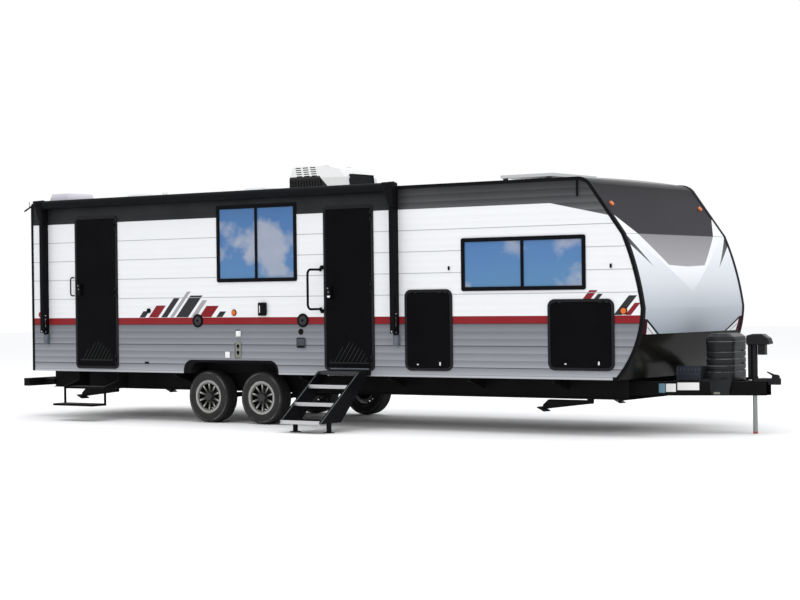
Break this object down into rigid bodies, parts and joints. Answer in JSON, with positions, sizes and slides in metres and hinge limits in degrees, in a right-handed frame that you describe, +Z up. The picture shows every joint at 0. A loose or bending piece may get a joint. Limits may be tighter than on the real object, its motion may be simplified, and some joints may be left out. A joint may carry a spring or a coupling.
{
  "type": "travel caravan",
  "caption": "Long travel caravan with a sloping front cap, entrance doors, fold-up steps, an awning roller, and a tongue with a jack and gas bottle cover.",
  "frame": {"origin": "on the ground on the centreline, under the foot of the tongue jack", "axes": "+X towards the hitch, +Y to the side without entrance doors, +Z up"},
  "size_m": [10.337, 3.438, 3.187],
  "materials": {
    "siding": "satin",
    "roof_skin": "matt",
    "cap_paint": "gloss",
    "black_gloss": "gloss",
    "black_trim": "satin",
    "window_tint": "clear tint",
    "chassis_paint": "satin",
    "tyre_rubber": "matt",
    "alloy": "machined",
    "jack_steel": "zinc plated",
    "step_metal": "satin",
    "white_plastic": "satin",
    "lamp_lens": "clear lens",
    "solar_glass": "dark cells"
  },
  "bodies": {
    "caravan": {"wall_door_side": "siding", "wall_off_side": "siding", "wall_rear": "siding", "roof": "roof_skin", "front_cap": "cap_paint", "front_panel": "black_gloss", "floor": "black_trim", "edge_trims": "black_trim", "window_frames": "black_trim", "window_glass": "window_tint", "door_frames": "black_trim", "hatch_frames": "black_trim", "main_rails": "chassis_paint", "crossmembers": "chassis_paint", "tongue_beams": "chassis_paint", "rear_bumper": "chassis_paint", "axles": "chassis_paint", "leaf_springs": "chassis_paint", "spring_hangers": "chassis_paint", "gas_cover": "black_trim", "battery_box": "black_trim", "tongue_jack": "black_trim", "coupler": "chassis_paint", "stabilizer_mounts": "chassis_paint", "step_mount": "step_metal", "rear_step_frame": "chassis_paint", "handle_brackets": "black_trim", "awning_arms": "black_trim", "awning_roll": "black_trim", "air_conditioner": "white_plastic", "roof_fittings": "white_plastic", "solar_panel": "solar_glass", "lamps": "lamp_lens", "wall_fittings": "black_trim"},
    "entry_door": {"entry_door": "black_gloss"},
    "rear_door": {"rear_door": "black_gloss"},
    "hatch_middle": {"hatch_middle": "black_gloss"},
    "hatch_front": {"hatch_front": "black_gloss"},
    "hatch_off": {"hatch_off": "black_gloss"},
    "entry_steps": {"entry_steps": "step_metal", "step_nosings": "alloy"},
    "rear_step": {"rear_step": "chassis_paint"},
    "grab_handle": {"grab_handle": "black_trim"},
    "jack_leg": {"jack_leg": "jack_steel"},
    "vent_lid_1": {"vent_lid_1": "white_plastic"},
    "vent_lid_2": {"vent_lid_2": "white_plastic"},
    "wheel_front_door": {"tyre_front_door": "tyre_rubber", "rim_front_door": "alloy"},
    "stabilizer_front_door": {"stabilizer_front_door": "chassis_paint"},
    "wheel_front_off": {"tyre_front_off": "tyre_rubber", "rim_front_off": "alloy"},
    "stabilizer_front_off": {"stabilizer_front_off": "chassis_paint"},
    "wheel_rear_door": {"tyre_rear_door": "tyre_rubber", "rim_rear_door": "alloy"},
    "stabilizer_rear_door": {"stabilizer_rear_door": "chassis_paint"},
    "wheel_rear_off": {"tyre_rear_off": "tyre_rubber", "rim_rear_off": "alloy"},
    "stabilizer_rear_off": {"stabilizer_rear_off": "chassis_paint"}
  },
  "joints": [
    {"name": "rear_door_hinge", "type": "hinge", "parent": "caravan", "child": "rear_door", "pos_m": [-8.298, -1.239, 1.6355], "axis": [0, 0, 1], "range_deg": [0, 170]},
    {"name": "entry_door_hinge", "type": "hinge", "parent": "caravan", "child": "entry_door", "pos_m": [-4.245, -1.239, 1.641], "axis": [0, 0, 1], "range_deg": [0, 140]},
    {"name": "hatch_middle_hinge", "type": "hinge", "parent": "caravan", "child": "hatch_middle", "pos_m": [-3.4475, -1.239, 1.577], "axis": [-1, 0, 0], "range_deg": [0, 165]},
    {"name": "hatch_front_hinge", "type": "hinge", "parent": "caravan", "child": "hatch_front", "pos_m": [-1.4595, -1.239, 1.451], "axis": [-1, 0, 0], "range_deg": [0, 165]},
    {"name": "hatch_off_hinge", "type": "hinge", "parent": "caravan", "child": "hatch_off", "pos_m": [-1.4595, 1.239, 1.451], "axis": [1, 0, 0], "range_deg": [0, 165]},
    {"name": "wheel_front_door_spin", "type": "hinge", "parent": "caravan", "child": "wheel_front_door", "pos_m": [-5.98, -1.0475, 0.325], "axis": [0, 1, 0], "continuous": true},
    {"name": "wheel_front_off_spin", "type": "hinge", "parent": "caravan", "child": "wheel_front_off", "pos_m": [-5.98, 1.0475, 0.325], "axis": [0, 1, 0], "continuous": true},
    {"name": "wheel_rear_door_spin", "type": "hinge", "parent": "caravan", "child": "wheel_rear_door", "pos_m": [-6.829, -1.0475, 0.325], "axis": [0, 1, 0], "continuous": true},
    {"name": "wheel_rear_off_spin", "type": "hinge", "parent": "caravan", "child": "wheel_rear_off", "pos_m": [-6.829, 1.0475, 0.325], "axis": [0, 1, 0], "continuous": true},
    {"name": "entry_steps_fold", "type": "hinge", "parent": "caravan", "child": "entry_steps", "pos_m": [-4.5735, -1.26, 0.656], "axis": [-1, 0, 0], "range_deg": [0, 85]},
    {"name": "rear_step_fold", "type": "hinge", "parent": "caravan", "child": "rear_step", "pos_m": [-8.6375, -1.459, 0.42], "axis": [-1, 0, 0], "range_deg": [0, 180]},
    {"name": "grab_handle_fold", "type": "hinge", "parent": "caravan", "child": "grab_handle", "pos_m": [-4.97, -1.247, 1.633], "axis": [0, 0, -1], "range_deg": [0, 90]},
    {"name": "jack_slide", "type": "slide", "parent": "caravan", "child": "jack_leg", "axis": [0, 0, 1], "range_m": [0, 0.33]},
    {"name": "vent_lid_1_hinge", "type": "hinge", "parent": "caravan", "child": "vent_lid_1", "pos_m": [-8.742, 0, 2.886], "axis": [0, 1, 0], "range_deg": [0, 70]},
    {"name": "vent_lid_2_hinge", "type": "hinge", "parent": "caravan", "child": "vent_lid_2", "pos_m": [-6.692, 0, 2.886], "axis": [0, 1, 0], "range_deg": [0, 70]},
    {"name": "stabilizer_front_door_swing", "type": "hinge", "parent": "caravan", "child": "stabilizer_front_door", "pos_m": [-1.55, -0.87, 0.355], "axis": [0, -1, 0], "range_deg": [0, 26]},
    {"name": "stabilizer_front_off_swing", "type": "hinge", "parent": "caravan", "child": "stabilizer_front_off", "pos_m": [-1.55, 0.87, 0.355], "axis": [0, -1, 0], "range_deg": [0, 26]},
    {"name": "stabilizer_rear_door_swing", "type": "hinge", "parent": "caravan", "child": "stabilizer_rear_door", "pos_m": [-8.652, -0.87, 0.355], "axis": [0, -1, 0], "range_deg": [0, 26]},
    {"name": "stabilizer_rear_off_swing", "type": "hinge", "parent": "caravan", "child": "stabilizer_rear_off", "pos_m": [-8.652, 0.87, 0.355], "axis": [0, -1, 0], "range_deg": [0, 26]}
  ]
}
